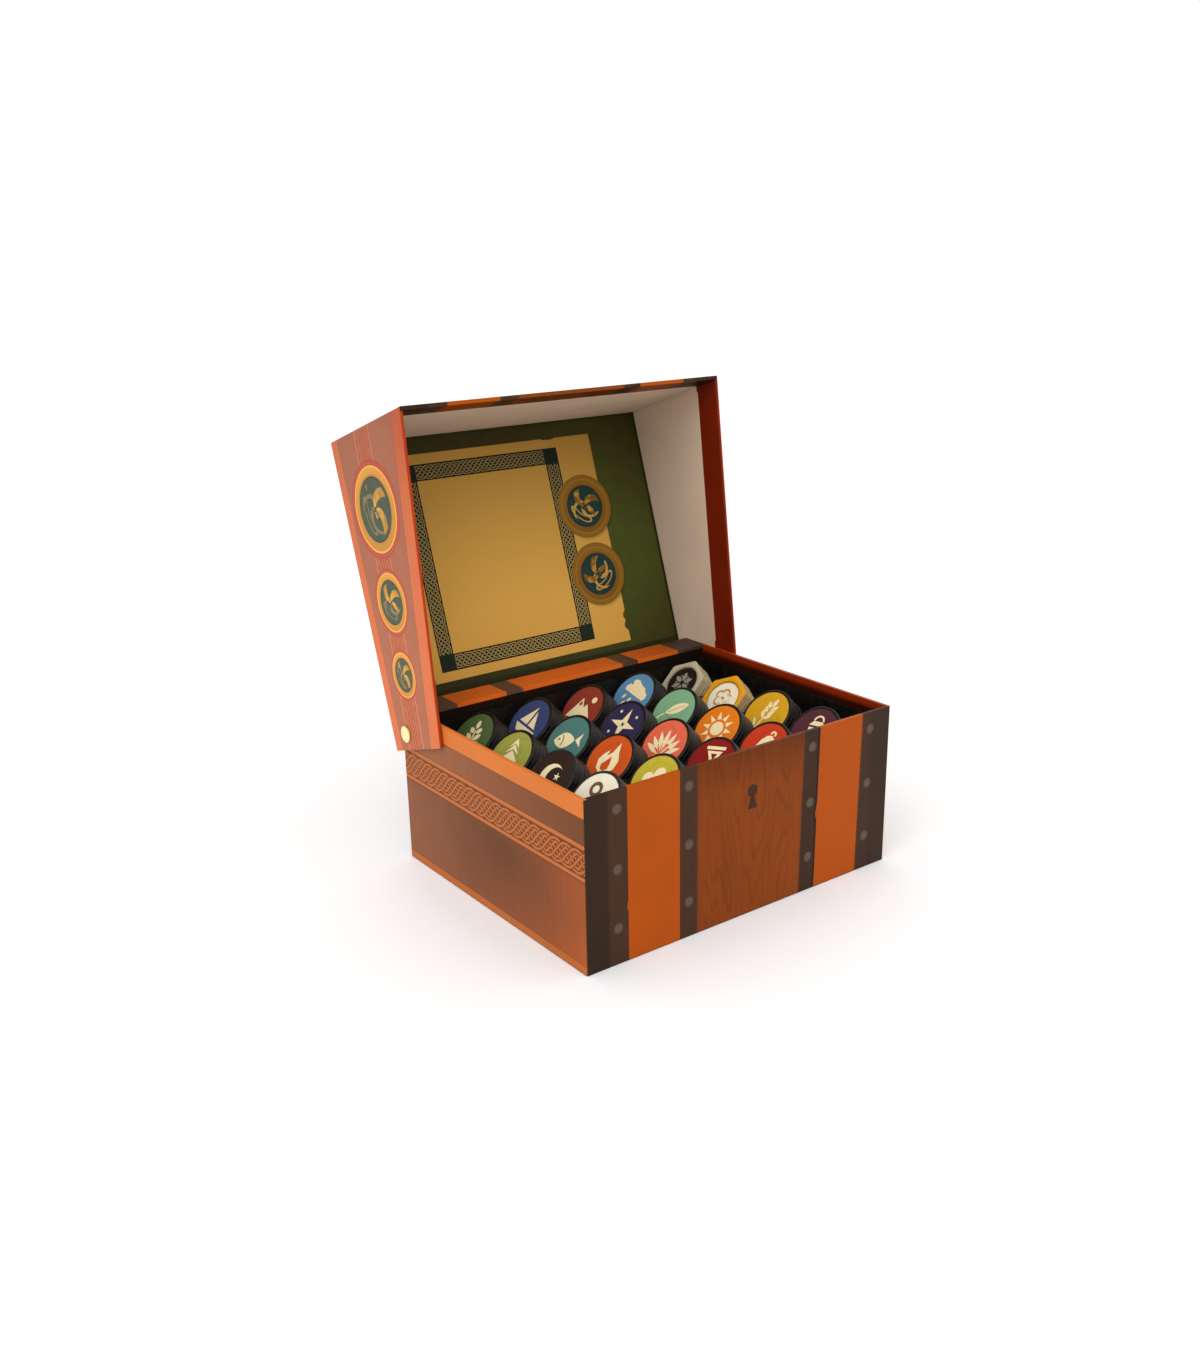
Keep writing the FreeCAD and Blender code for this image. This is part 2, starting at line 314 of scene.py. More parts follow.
def wood_grain(finish, x, z, colours):
    """Planed board with long lines that close in tall arches, pores and a few knots."""
    light, dark = colours
    at = finish.add("ShaderNodeCombineXYZ", inputs={"X": x, "Z": z})
    lines = abs((finish.noise(0.045, 1.5, (1, 1, 0.14), shift=(0.3, 0, 5.0), at=at) * 19 + x * 0.05) % 1 - 0.5) * 2
    line = finish.ramp(lines, 0.74, 1.0)
    faint = finish.ramp(lines, 0.0, 1.0)
    streaks = finish.ramp(finish.noise(0.8, 3.0, (1, 1, 0.02), 0.65, at=at), 0.42, 0.72)
    pores = finish.ramp(finish.noise(2.2, 2.0, (1, 1, 0.05), at=at), 0.6, 0.72)
    broad = finish.noise(0.05, 2.0, (1, 1, 0.25), at=at)
    knots = finish.ramp(finish.noise(0.12, 0.0, (1, 1, 0.7), shift=(3.1, 0, 1.7), at=at), 0.76, 0.82)
    depth = line * 0.34 + faint * 0.12 + streaks * 0.26 + pores * 0.26 + knots * 0.4
    colour = finish.mix(depth & 1.0, light, dark)
    return finish.shaded(colour, (0.84 + broad * 0.4) * (1 - finish.ramp(z, 70.0, 92.0) * 0.36))


def chest_bands(finish, x, z, colours, plain_middle=False):
    """Straps, orange boards and the wooden middle, as they run across the front."""
    orange, strap, corner, wood_light, wood_dark, rivet = colours
    at = finish.add("ShaderNodeCombineXYZ", inputs={"X": x, "Z": z})
    leaning = x - (x > 0) * (z - 46.5) * 0.019
    dent = finish.ramp(abs(z - 45.0), 5.0, 1.5) * (finish.noise(0.35, 1.0) * 2.4 - 0.2)
    chip = finish.ramp(abs(z - 30.0), 3.4, 1.0) * 0.6
    mottle = finish.noise(0.05, 4.0)
    board = finish.shaded(orange, 0.9 + mottle * 0.2)
    middle = board if plain_middle else wood_grain(finish, x, z, (wood_light, wood_dark))
    grain = finish.noise(0.5, 3.0, (1, 1, 0.04), at=at)
    iron = finish.shaded(strap, (0.72 + grain * 0.3 + mottle * 0.26) * (1.02 - x * 0.0026))
    outer_part = finish.shaded(corner, 0.82 + mottle * 0.4 + (x > 0) * 0.2)
    dark_corner = finish.mix(finish.ramp(abs(x), 89.8, 91.8), finish.shaded(iron, 0.9 + (x > 0) * 0.36), outer_part)
    paint = board
    in_middle = finish.between(leaning, -35.0, 38.4)
    paint = finish.mix(in_middle, paint, middle)
    left_strap = finish.between(x, -46.3, -35.0)
    right_strap = (leaning > 38.4) * (leaning < 49.9 - dent)
    right_shadow = (leaning > 48.4 - dent) * (leaning < 49.9 - dent)
    left_end = x < -79.1 - chip
    right_end = leaning > 82.0
    straps = left_strap | right_strap
    paint = finish.mix(straps, paint, iron)
    paint = finish.mix(right_shadow * 0.75, paint, finish.shaded(corner, 0.45))
    haze = finish.ramp(abs(x + 35.0), 1.9, 0.0) | finish.ramp(abs(leaning - 38.4), 1.6, 0.0)
    paint = finish.mix(haze * 0.5, paint, finish.shaded(strap, 1.25))
    paint = finish.mix(left_end | right_end, paint, dark_corner)
    light_edge = finish.between(leaning, 82.0, 83.3)
    paint = finish.mix(light_edge * 0.45, paint, finish.shaded(strap, 1.8))
    studs = (z + 28.0) % 31.8 - 15.9
    reach = None
    for across, place in ((x, -85.4), (x, -40.3), (leaning, 44.4), (leaning, 88.5)):
        off = across - place
        far = finish.hypot(off, studs)
        reach = far if reach is None else reach & far
    heads = reach < 2.95
    metal = finish.shaded(rivet, 0.72 + finish.noise(0.8, 2.0) * 0.5)
    metal = finish.mix(reach < 2.25, finish.shaded(rivet, 0.66), metal)
    return finish.mix(heads, paint, metal), heads


def dress(node, material):
    """Gives a CAD node's material slots a finish."""
    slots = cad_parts[node].material_slots
    if not slots:
        raise RuntimeError(node + " has no material slot")
    for slot in slots:
        slot.material = material


def lid_place(finish):
    """A lid point's height up the panel and its distance from the panel's outer face."""
    up = finish.dot(LID_UP, PIVOT)
    out = finish.dot(LID_OUT, PIVOT) + PANEL_DROP
    return up, out


def paper_tooth(finish, height=None, depth=0.04):
    """The fine tooth of laminated paper, with whatever else stands in relief."""
    tooth = finish.noise(2.2, 3.0, roughness=0.6)
    total = tooth if height is None else tooth * 0.35 + height
    finish.relief(total, depth)
    return finish.noise(0.35, 2.0) * 0.12


def mesh_object(name, mesh, materials, place=None):
    """A new object for a mesh, put in the scene."""
    piece = bpy.data.objects.new(name, mesh)
    for material in materials:
        mesh.materials.append(material)
    bpy.context.scene.collection.objects.link(piece)
    if place is not None:
        piece.matrix_world = place
    return piece


def turned(rings, sides, shape=None, close_start=True, close_end=True):
    """Rings of points (radius, height, material) joined side by side, as vertices and faces."""
    points, faces, slots = [], [], []
    for radius, height, _ in rings:
        for step in range(sides):
            angle = 2 * math.pi * step / sides
            reach = shape(radius, angle) if shape else radius
            points.append((reach * math.cos(angle), reach * math.sin(angle), height))
    for ring in range(len(rings) - 1):
        for step in range(sides):
            a = ring * sides + step
            b = ring * sides + (step + 1) % sides
            faces.append((a, b, b + sides, a + sides))
            slots.append(rings[ring + 1][2])
    if close_start:
        faces.append(tuple(reversed(range(sides))))
        slots.append(rings[0][2])
    if close_end:
        last = (len(rings) - 1) * sides
        faces.append(tuple(range(last, last + sides)))
        slots.append(rings[-1][2])
    return points, faces, slots


class Shell:
    """Vertices, faces and material numbers gathered for one mesh."""

    def __init__(self):
        self.points = []
        self.faces = []
        self.slots = []

    def take(self, part, move=None, shift=(0, 0, 0)):
        points, faces, slots = part
        start = len(self.points)
        for x, y, z in points:
            self.points.append((x + shift[0], y + shift[1], z + shift[2]))
        self.faces.extend(tuple(i + start for i in face) for face in faces)
        self.slots.extend(slots)

    def mesh(self, name, smooth=0.6):
        mesh = bpy.data.meshes.new(name)
        scaled = [(x * MM, y * MM, z * MM) for x, y, z in self.points]
        mesh.from_pydata(scaled, [], self.faces)
        mesh.update()
        for face, slot in zip(mesh.polygons, self.slots):
            face.material_index = slot
            face.use_smooth = True
        mesh.set_sharp_from_angle(angle=smooth)
        return mesh


# Motifs: closed outlines on a face of radius 1. An outline inside another cuts it out.


def disc(x, y, radius, sides=28):
    return [
        (x + radius * math.cos(2 * math.pi * i / sides), y + radius * math.sin(2 * math.pi * i / sides))
        for i in range(sides)
    ]


def bar(x0, y0, x1, y1, width):
    along = Vector((x1 - x0, y1 - y0)).normalized() * (width / 2)
    return [
        (x0 - along.y, y0 + along.x),
        (x0 + along.y, y0 - along.x),
        (x1 + along.y, y1 - along.x),
        (x1 - along.y, y1 + along.x),
    ]


def star(x, y, outer, inner, points, turn=90.0):
    return [
        (
            x + (inner if i % 2 else outer) * math.cos(math.radians(turn) + math.pi * i / points),
            y + (inner if i % 2 else outer) * math.sin(math.radians(turn) + math.pi * i / points),
        )
        for i in range(2 * points)
    ]


def leaf(x, y, length, width, angle, steps=12):
    """A pointed oval that starts at a point and runs along an angle in degrees."""
    turn = math.radians(angle)
    outline = []
    for side in (1, -1):
        for i in range(steps):
            t = i / steps if side > 0 else 1 - i / steps
            outline.append((t * length, side * width / 2 * math.sin(math.pi * t) ** 0.8))
    return [
        (x + a * math.cos(turn) - b * math.sin(turn), y + a * math.sin(turn) + b * math.cos(turn))
        for a, b in outline
    ]


def arc(x, y, inner, outer, start, end, steps=20):
    """A curved bar round a centre, between two angles in degrees."""
    angles = [math.radians(start + (end - start) * i / steps) for i in range(steps + 1)]
    far = [(x + outer * math.cos(a), y + outer * math.sin(a)) for a in angles]
    near = [(x + inner * math.cos(a), y + inner * math.sin(a)) for a in reversed(angles)]
    return far + near


def around(outline, count, turn=0.0):
    """The same outline repeated round the middle."""
    copies = []
    for i in range(count):
        a = math.radians(turn) + 2 * math.pi * i / count
        copies.append(
            [(x * math.cos(a) - y * math.sin(a), x * math.sin(a) + y * math.cos(a)) for x, y in outline]
        )
    return copies


def motif_sprig():
    leaves = [bar(0, -0.62, 0, 0.28, 0.06)]
    for y, size in ((-0.42, 0.42), (-0.12, 0.4), (0.16, 0.32)):
        leaves += [leaf(0.06, y, size, 0.2, 38), leaf(-0.06, y, size, 0.2, 142)]
    return leaves + [leaf(0, 0.32, 0.36, 0.2, 90)]


def motif_boat():
    return [
        [(-0.62, -0.22), (0.66, -0.22), (0.42, -0.5), (-0.4, -0.5)],
        [(-0.04, 0.66), (-0.04, -0.12), (-0.52, -0.12)],
        [(0.06, 0.5), (0.5, -0.12), (0.06, -0.12)],
    ]


def motif_peaks():
    return [
        [(-0.68, -0.45), (-0.2, 0.42), (0.02, 0.03), (0.14, 0.2), (0.66, -0.45)],
        [(-0.33, 0.08), (-0.2, 0.3), (-0.08, 0.08), (-0.15, 0.14), (-0.21, 0.04), (-0.27, 0.13)],
        disc(0.38, 0.42, 0.13),
    ]


def motif_cloud():
    cloud = [(-0.6, 0.0), (-0.66, 0.14), (-0.56, 0.3), (-0.4, 0.32)]
    cloud += [(-0.26 + 0.28 * math.cos(a), 0.36 + 0.26 * math.sin(a)) for a in (2.6, 2.0, 1.4, 0.8)]
    cloud += [(0.1, 0.5), (0.3, 0.48), (0.44, 0.36), (0.6, 0.3), (0.66, 0.14), (0.58, 0.0)]
    drops = [leaf(x, y, 0.26, 0.13, 250) for x, y in ((-0.34, -0.12), (0.02, -0.12), (0.38, -0.12), (-0.16, -0.38), (0.2, -0.38))]
    return [cloud] + drops


def motif_tree():
    return [
        [(-0.07, -0.66), (0.07, -0.66), (0.05, -0.14), (-0.05, -0.14)],
        [(-0.44, -0.16), (0.44, -0.16), (0.0, 0.22)],
        [(-0.34, 0.1), (-0.04, 0.26), (0.0, 0.3), (0.04, 0.26), (0.34, 0.1), (0, 0.46)],
        [(-0.24, 0.34), (0.0, 0.5), (0.24, 0.34), (0, 0.7)],
    ]


def motif_fish():
    body = leaf(-0.66, 0, 1.0, 0.62, 0)
    return [
        body,
        disc(-0.42, 0.05, 0.05, 12),
        [(0.38, 0.0), (0.68, 0.28), (0.6, 0.0), (0.68, -0.28)],
        arc(-0.6, 0, 0.36, 0.41, -34, 34, 10),
    ]


def motif_star():
    return [star(0, 0.04, 0.66, 0.2, 4), star(0, 0.04, 0.12, 0.05, 4, 45)] + [
        disc(0.44 * x, 0.04 + 0.44 * y, 0.06, 12) for x, y in ((1, 1), (-1, 1), (1, -1), (-1, -1))
    ]


def motif_quill():
    vane = leaf(-0.28, -0.26, 1.06, 0.4, 52, 14)
    return [vane, bar(-0.2, -0.16, 0.26, 0.43, 0.035), bar(-0.3, -0.29, -0.46, -0.62, 0.06)]


def motif_moon():
    outer = [(0.5 * math.cos(a), 0.5 * math.sin(a)) for a in [math.radians(40 + i * 14) for i in range(21)]]
    inner = [(0.17 + 0.38 * math.cos(a), 0.0 + 0.4 * math.sin(a)) for a in [math.radians(318 - i * 14) for i in range(20)]]
    return [outer + inner, star(0.28, 0.06, 0.16, 0.06, 5)]


def motif_flame():
    outer = [(0.0, 0.72), (0.2, 0.38), (0.42, 0.14), (0.46, -0.18), (0.3, -0.46), (0.0, -0.58), (-0.3, -0.46), (-0.46, -0.16), (-0.36, 0.12), (-0.24, 0.3), (-0.2, 0.08), (-0.06, 0.3)]
    inner = [(0.02, 0.16), (0.16, -0.1), (0.2, -0.3), (0.06, -0.44), (-0.12, -0.42), (-0.2, -0.24), (-0.1, -0.1)]
    return [outer, inner]


def motif_shell():
    ribs = [leaf(0.0, -0.46, 1.02 - abs(i) * 0.05, 0.2, 90 + i * 21) for i in range(-3, 4)]
    return ribs + [bar(-0.24, -0.54, 0.24, -0.54, 0.1)]


def motif_sun():
    return [disc(0, 0, 0.28)] + around([(0.38, -0.1), (0.7, 0.0), (0.38, 0.1)], 10)


def motif_wheat():
    grains = [bar(0, -0.66, 0, -0.1, 0.05)]
    for y in (-0.2, 0.0, 0.2):
        grains += [leaf(0.05, y, 0.34, 0.16, 56), leaf(-0.05, y, 0.34, 0.16, 124)]
    return grains + [leaf(0, 0.34, 0.38, 0.16, 90), leaf(0.1, -0.62, 0.4, 0.1, 50), leaf(-0.1, -0.62, 0.4, 0.1, 130)]


def motif_key():
    return [arc(0, 0.38, 0.14, 0.27, 0, 359.9, 30), bar(0, 0.1, 0, -0.64, 0.1), bar(0.08, -0.56, 0.28, -0.56, 0.1), bar(0.08, -0.36, 0.22, -0.36, 0.1)]


def motif_clover():
    return [disc(0, 0.3, 0.24), disc(-0.3, -0.06, 0.24), disc(0.3, -0.06, 0.24), [(-0.03, 0.0), (0.03, 0.0), (0.12, -0.66), (-0.06, -0.66)]]


def motif_hourglass():
    return [
        bar(-0.4, 0.6, 0.4, 0.6, 0.12),
        bar(-0.4, -0.6, 0.4, -0.6, 0.12),
        [(-0.32, 0.48), (0.32, 0.48), (0.05, 0.0), (0.32, -0.48), (-0.32, -0.48), (-0.05, 0.0)],
        [(-0.14, 0.38), (0.14, 0.38), (0.0, 0.14)],
    ]


def motif_bell():
    body = [(-0.46, -0.38), (-0.36, -0.2), (-0.3, 0.2), (-0.18, 0.42), (0.0, 0.5), (0.18, 0.42), (0.3, 0.2), (0.36, -0.2), (0.46, -0.38)]
    return [body, disc(0, -0.52, 0.1, 16), arc(0, 0.56, 0.06, 0.13, -20, 200, 14)]


def motif_lantern():
    return [
        arc(0, 0.44, 0.16, 0.23, 0, 180, 14),
        [(-0.34, 0.24), (0.34, 0.24), (0.2, 0.42), (-0.2, 0.42)],
        [(-0.3, 0.16), (0.3, 0.16), (0.24, -0.42), (-0.24, -0.42)],
        leaf(0, -0.32, 0.38, 0.2, 90),
        bar(-0.36, -0.54, 0.36, -0.54, 0.12),
    ]


def motif_rosette():
    return around(leaf(0.12, 0, 0.62, 0.3, 0), 6, 90) + around(disc(0.5, 0, 0.06, 12), 6, 60)


def motif_knot():
    return around(arc(0.34, 0, 0.2, 0.31, -110, 110, 18), 5, 90) + [disc(0, 0, 0.1, 20)]


MOTIFS = {
    "dark_green": (motif_sprig, 12),
    "blue": (motif_boat, -8),
    "maroon": (motif_peaks, 6),
    "light_blue": (motif_cloud, -10),
    "lime": (motif_tree, 10),
    "teal": (motif_fish, 18),
    "navy": (motif_star, 0),
    "mint": (motif_quill, -14),
    "black": (motif_moon, 8),
    "red_orange": (motif_flame, -6),
    "coral": (motif_shell, 10),
    "orange": (motif_sun, 4),
    "ochre": (motif_wheat, -12),
    "cream": (motif_key, 30),
    "yellow_green": (motif_clover, -10),
    "crimson": (motif_hourglass, 14),
    "red": (motif_bell, -8),
    "purple": (motif_lantern, 6),
    "hex_grey": (motif_rosette, 8),
    "hex_gold": (motif_knot, -6),
}


def inlay(outlines, size, turn, height, thickness):
    """A motif as one thin closed layer of ink, cut from its outlines."""
    curve = bpy.data.curves.new("motif", "CURVE")
    curve.dimensions = "2D"
    curve.fill_mode = "BOTH"
    curve.extrude = thickness / 2 * MM
    cos, sin = math.cos(math.radians(turn)), math.sin(math.radians(turn))
    for outline in outlines:
        spline = curve.splines.new("POLY")
        spline.points.add(len(outline) - 1)
        for point, (x, y) in zip(spline.points, outline):
            point.co = ((x * cos - y * sin) * size * MM, (x * sin + y * cos) * size * MM, 0, 1)
        spline.use_cyclic_u = True
    holder = bpy.data.objects.new("motif", curve)
    bpy.context.scene.collection.objects.link(holder)
    bpy.context.view_layer.update()
    mesh = bpy.data.meshes.new_from_object(holder)
    points = [(v.co.x / MM, v.co.y / MM, v.co.z / MM + height) for v in mesh.vertices]
    faces = [tuple(face.vertices) for face in mesh.polygons]
    bpy.data.objects.remove(holder)
    bpy.data.curves.remove(curve)
    bpy.data.meshes.remove(mesh)
    return points, faces, [2] * len(faces)


def stack_place(row, column):
    """Where a stack's top face lies: its middle, RISE as local Y and AXIS as local Z."""
    x = -99.5 + 16.9 + column * 37.7
    y = 65.5 - 16.9 - row * 37.9
    z = HEIGHT - 1.3 - 16.5 * RISE.z
    across = RISE.cross(AXIS)
    return Matrix(
        (
            (across.x, RISE.x, AXIS.x, x * MM),
            (across.y, RISE.y, AXIS.y, y * MM),
            (across.z, RISE.z, AXIS.z, z * MM),
            (0, 0, 0, 1),
        )
    )


class BoxPrintSizes(bpy.types.PropertyGroup):
    orange: colour_property("Orange board", "a84902", "Orange paper between the straps")
    strap: colour_property("Strap", "3d2719", "Printed iron straps")
    corner: colour_property("Corner", "2f2015", "Printed iron at the corners")
    rivet: colour_property("Printed rivet", "5c4c41", "Rivets printed on the straps")
    wood_light: colour_property("Wood", "823b06", "Lighter wood of the middle")
    wood_dark: colour_property("Wood grain", "5a2a0c", "Darker grain of the middle")
    side_orange: colour_property("Side border", "cc702e", "Border at the top and bottom of the sides")
    side_brown: colour_property("Side field", "64391d", "Plain field of the sides")
    side_rear: colour_property("Side field, rear", "844f32", "Paler field towards the back")
    side_rust: colour_property("Side field, low", "a05021", "Redder foot of the plain field")
    plait: colour_property("Plait", "b16431", "Raised cords of the side's plait")
    plait_dark: colour_property("Plait ground", "703816", "Ground behind the cords")
    turn_in: colour_property("Turn-in", "96300b", "Paper turned in over the rim")
    plait_pitch: bpy.props.FloatProperty(
        name="Plait pitch", description="From lobe to lobe, in millimetres", default=8.8, min=2
    )


class LidPrintSizes(bpy.types.PropertyGroup):
    border: colour_property("Lid border", "d16e42", "Border along the wing's edges")
    field: colour_property("Lid field", "a8664a", "Mauve brown field of the wing")
    plait: colour_property("Lid plait", "c16a48", "Fine plait along the wing")
    ring: colour_property("Medallion ring", "c05641", "Outer ring of the medallions")
    gold: colour_property("Medallion gold", "e09c40", "Gold ring of the medallions")
    disc: colour_property("Medallion disc", "4b5644", "Dark disc of the medallions")
    flame: colour_property("Medallion flame", "e8a63a", "Bright middle of the whirl")
    vein: colour_property("Medallion line", "8f7a52", "Fine lines of the whirl")
    lining: colour_property("Lining", "d2bda6", "Plain lining paper")
    turn_in: colour_property("Lid turn-in", "6d1c06", "Paper turned in over the lid's rim")
    # Painted light: the left rim is the same turned-in paper as the right, painted lighter because it faces the light.
    rim_left: colour_property("Left rim", "a8340e", "Paper over the rim that faces the light")
    panel_edge: colour_property("Panel edge", "2c2e12", "Panel below the card")


class CardSizes(bpy.types.PropertyGroup):
    green: colour_property("Card green", "474d1e", "Olive ground of the card")
    shade: colour_property("Card shade", "342e11", "Ground towards the card's corners")
    parchment: colour_property("Parchment", "cc9b46", "Parchment sheet")
    frame_black: colour_property("Frame black", "14120c", "Ground of the plaited frame")
    frame_line: colour_property("Frame line", "9a864f", "Cords of the plaited frame")
    square: colour_property("Frame corner", "1c2618", "Squares at the frame's corners")
    bronze: colour_property("Bronze", "8b611f", "Rings of the card's medallions")
    teal: colour_property("Teal", "1f3835", "Discs of the card's medallions")


class TokenSizes(bpy.types.PropertyGroup):
    radius: bpy.props.FloatProperty(
        name="Token radius", description="In millimetres", default=16.5, min=5
    )
    face_radius: bpy.props.FloatProperty(
        name="Printed radius", description="Radius of the printed face, in millimetres", default=14.8, min=4
    )
    tokens: bpy.props.IntProperty(name="Tokens", description="Tokens in a stack", default=5, min=1)
    thickness: bpy.props.FloatProperty(
        name="Token thickness", description="In millimetres", default=2.8, min=0.5
    )
    cream: colour_property("Motif cream", "efdcae", "Cream ink of the motifs")
    dark_green: colour_property("Dark green", "4f6437", "Face colour")
    blue: colour_property("Blue", "3a456e", "Face colour")
    maroon: colour_property("Maroon", "8c3728", "Face colour")
    light_blue: colour_property("Light blue", "5888ac", "Face colour")
    lime: colour_property("Lime", "989843", "Face colour")
    teal: colour_property("Teal", "4c7770", "Face colour")
    navy: colour_property("Navy", "2e2c4c", "Face colour")
    mint: colour_property("Mint", "7aa980", "Face colour")
    black: colour_property("Black brown", "2d1911", "Face colour")
    red_orange: colour_property("Red orange", "c4501a", "Face colour")
    coral: colour_property("Coral", "db6347", "Face colour")
    orange: colour_property("Orange", "db7619", "Face colour")
    ochre: colour_property("Ochre", "cc9920", "Face colour")
    face_cream: colour_property("Cream", "e6dcc4", "Face colour")
    yellow_green: colour_property("Yellow green", "b9a833", "Face colour")
    crimson: colour_property("Crimson", "841915", "Face colour")
    red: colour_property("Red", "bf391c", "Face colour")
    purple: colour_property("Purple", "512a33", "Face colour")
    grey_tile: colour_property("Grey tile", "b9ad90", "Grey tiles")
    gold_tile: colour_property("Gold tile", "e09a10", "Gold tiles")


class StageSizes(bpy.types.PropertyGroup):
    lens: bpy.props.FloatProperty(
        name="Lens", description="Focal length in millimetres", default=35.5087, min=10
    )
    sun: bpy.props.FloatProperty(name="Sun", description="Strength of the soft sun", default=1.1, min=0)
    spread: bpy.props.FloatProperty(
        name="Spread", description="How wide the soft sun is, in degrees", default=50.0, min=1
    )
    world: bpy.props.FloatProperty(
        name="Room light", description="Strength of the even light", default=1.0, min=0
    )


class STORAGEBOX_OT_base(bpy.types.Operator):
    """Print the base's wrap and the ledge along its back"""

    bl_idname = "storagebox.base"
    bl_label = "Base and ledge"

    def execute(self, context):
        sizes = context.scene.storagebox_base
        dress("base_shell", self.wrap(sizes))
        dress("rear_ledge", self.ledge(sizes))
        return {"FINISHED"}

    def wrap(self, sizes):
        finish = Finish("base_wrap", IOR=1.45, Specular_IOR_Level=0.1)
        x, y, z = finish.xyz()
        colours = [
            tuple(c)
            for c in (sizes.orange, sizes.strap, sizes.corner, sizes.wood_light, sizes.wood_dark, sizes.rivet)
        ]
        bands, heads = chest_bands(finish, x, z, colours)
        keyhole = self.keyhole(finish, x - 2.4, z - 69.6) * (y < 0)
        front = finish.mix(keyhole, bands, finish.shaded(tuple(sizes.strap), 0.95))
        side, cords = self.side(finish, y, z, sizes)
        lining = finish.shaded(tuple(sizes.turn_in), 0.25 + finish.noise(0.4, 2.0) * 0.1)
        turn = finish.shaded(tuple(sizes.turn_in), 0.8 + finish.noise(0.1, 3.0) * 0.4)
        # Painted shade: the turned-in strip darkens from the rim down towards the tray, and on the left wall's inside,
        # which faces away from the light, it is painted almost black.
        depth = (0.12 + finish.ramp(z, 88.0, 90.8) * 0.7) * (1 - (x < 0) * 0.875)
        inner = finish.mix(z > 76.0, lining, finish.shaded(turn, depth))
        on_side = abs(x) > 104.7
        on_front = abs(y) > 87.2
        under = z < 0.2
        on_rim = z > 92.8
        rim_side = (abs(x) > 102.9) * on_rim
        colour = finish.mix(on_front, inner, front)
        # Painted highlight: the print on the rim's top is made 5 % lighter.
        colour = finish.mix(on_rim, colour, finish.shaded(bands, 1.05))
        rim = finish.mix(x > 0, tuple(sizes.side_orange), finish.shaded(tuple(sizes.turn_in), 1.15))
        colour = finish.mix(rim_side, colour, rim)
        colour = finish.mix(on_side, colour, side)
        colour = finish.mix(under, colour, finish.shaded(tuple(sizes.corner), 0.9))
        # Lighter patches along the box's upright corners: partly worn paper, partly a painted highlight on the folded
        # edges.
        outline = finish.ramp(finish.math("MINIMUM", abs(x) - 103.9, abs(y) - 86.4), 0.0, 0.7)
        scuffs_and_edge_highlight = outline * finish.ramp(finish.noise(0.25, 5.0), 0.4, 0.75)
        colour = finish.mix(scuffs_and_edge_highlight * 0.35, colour, tuple(sizes.rivet))
        rub = paper_tooth(finish, cords * on_side * 0.8 + heads * on_front * 0.4)
        return finish.finish(colour, rub + 0.36)

    def keyhole(self, finish, x, z):
        head = finish.hypot(x, z) < 3.5
        flare = (abs(x) < 1.2 - (z + 3.0) * 0.29) * finish.between(z, -10.0, -2.2)
        return head | flare

    def side(self, finish, y, z, sizes):
        """Borders, the raised plait between its lines, and the plain field under it."""
        mottle = finish.noise(0.03, 3.0)
        orange = finish.shaded(tuple(sizes.side_orange), 0.9 + mottle * 0.2)
        away = finish.hypot((y + 12) / 74, (z - 42) / 44)
        low = finish.ramp(away + (mottle - 0.5) * 0.4, 0.1, 1.3) * finish.ramp(z, 75.0, 45.0)
        rust = finish.mix(finish.ramp(y, 20.0, -80.0), tuple(sizes.side_rear), tuple(sizes.side_rust))
        field = finish.mix(low, tuple(sizes.side_brown), rust)
        field = finish.mix(finish.ramp(z, 60.0, 62.0), field, finish.shaded(finish.mix(finish.ramp(y, 60.0, -80.0), tuple(sizes.side_rear), tuple(sizes.side_brown)), 1.25))
        field = finish.shaded(field, 0.86 + finish.noise(0.6, 3.0, (1, 1, 0.06)) * 0.28)
        cords = plait(finish, -y, (z - 59.5) * 0.95, sizes.plait_pitch * 0.375, sizes.plait_pitch, 1.2)
        ground = finish.shaded(tuple(sizes.plait_dark), 0.85 + mottle * 0.3)
        knot = finish.mix(cords, ground, tuple(sizes.plait))
        line = finish.between(z, 67.1, 69.3) | finish.between(z, 50.4, 52.3)
        dark = finish.between(z, 66.2, 67.1) | finish.between(z, 49.6, 50.4) | finish.between(z, 69.3, 69.8)
        colour = finish.mix(finish.between(z, 50.0, 69.2), field, knot)
        colour = finish.mix(line, colour, finish.shaded(tuple(sizes.plait), 1.06))
        colour = finish.mix(dark * 0.7, colour, ground)
        trim = (z > 83.2) | (z < 4.5)
        edge = finish.between(z, 82.7, 83.2) | finish.between(z, 4.5, 5.0)
        colour = finish.mix(trim, colour, finish.shaded(orange, 1 - (z < 4.6) * 0.3))
        colour = finish.mix(edge * 0.5, colour, ground)
        inside = finish.between(z, 52.3, 66.2)
        return colour, cords * inside + line

    def ledge(self, sizes):
        finish = Finish("ledge_wrap", IOR=1.45, Specular_IOR_Level=0.1)
        x, y, z = finish.xyz()
        colours = [
            tuple(c)
            for c in (sizes.orange, sizes.strap, sizes.corner, sizes.wood_light, sizes.wood_dark, sizes.rivet)
        ]
        bands, _ = chest_bands(finish, x, z * 0 + 62.0, colours, plain_middle=True)
        on_top = z > 90.9
        # Painted light on the ledge's top: the print is made about 1.55 times as bright, brighter still along the front
        # fold as a painted highlight, and darker towards the right end as painted shade.
        fold_highlight = finish.ramp(y, LEDGE_FRONT + 1.6, LEDGE_FRONT + 0.4)
        top = finish.shaded(bands, 1.55 + fold_highlight * 0.5 - finish.ramp(x, 10.0, 95.0) * 0.5)
        top = finish.mix(0.03, top, (0.45, 0.5, 0.4))
        side = finish.mix(abs(x) > 104.7, top, tuple(sizes.side_orange))
        colour = finish.mix(on_top, finish.shaded(tuple(sizes.corner), 0.4), side)
        rub = paper_tooth(finish)
        return finish.finish(colour, rub + 0.36)


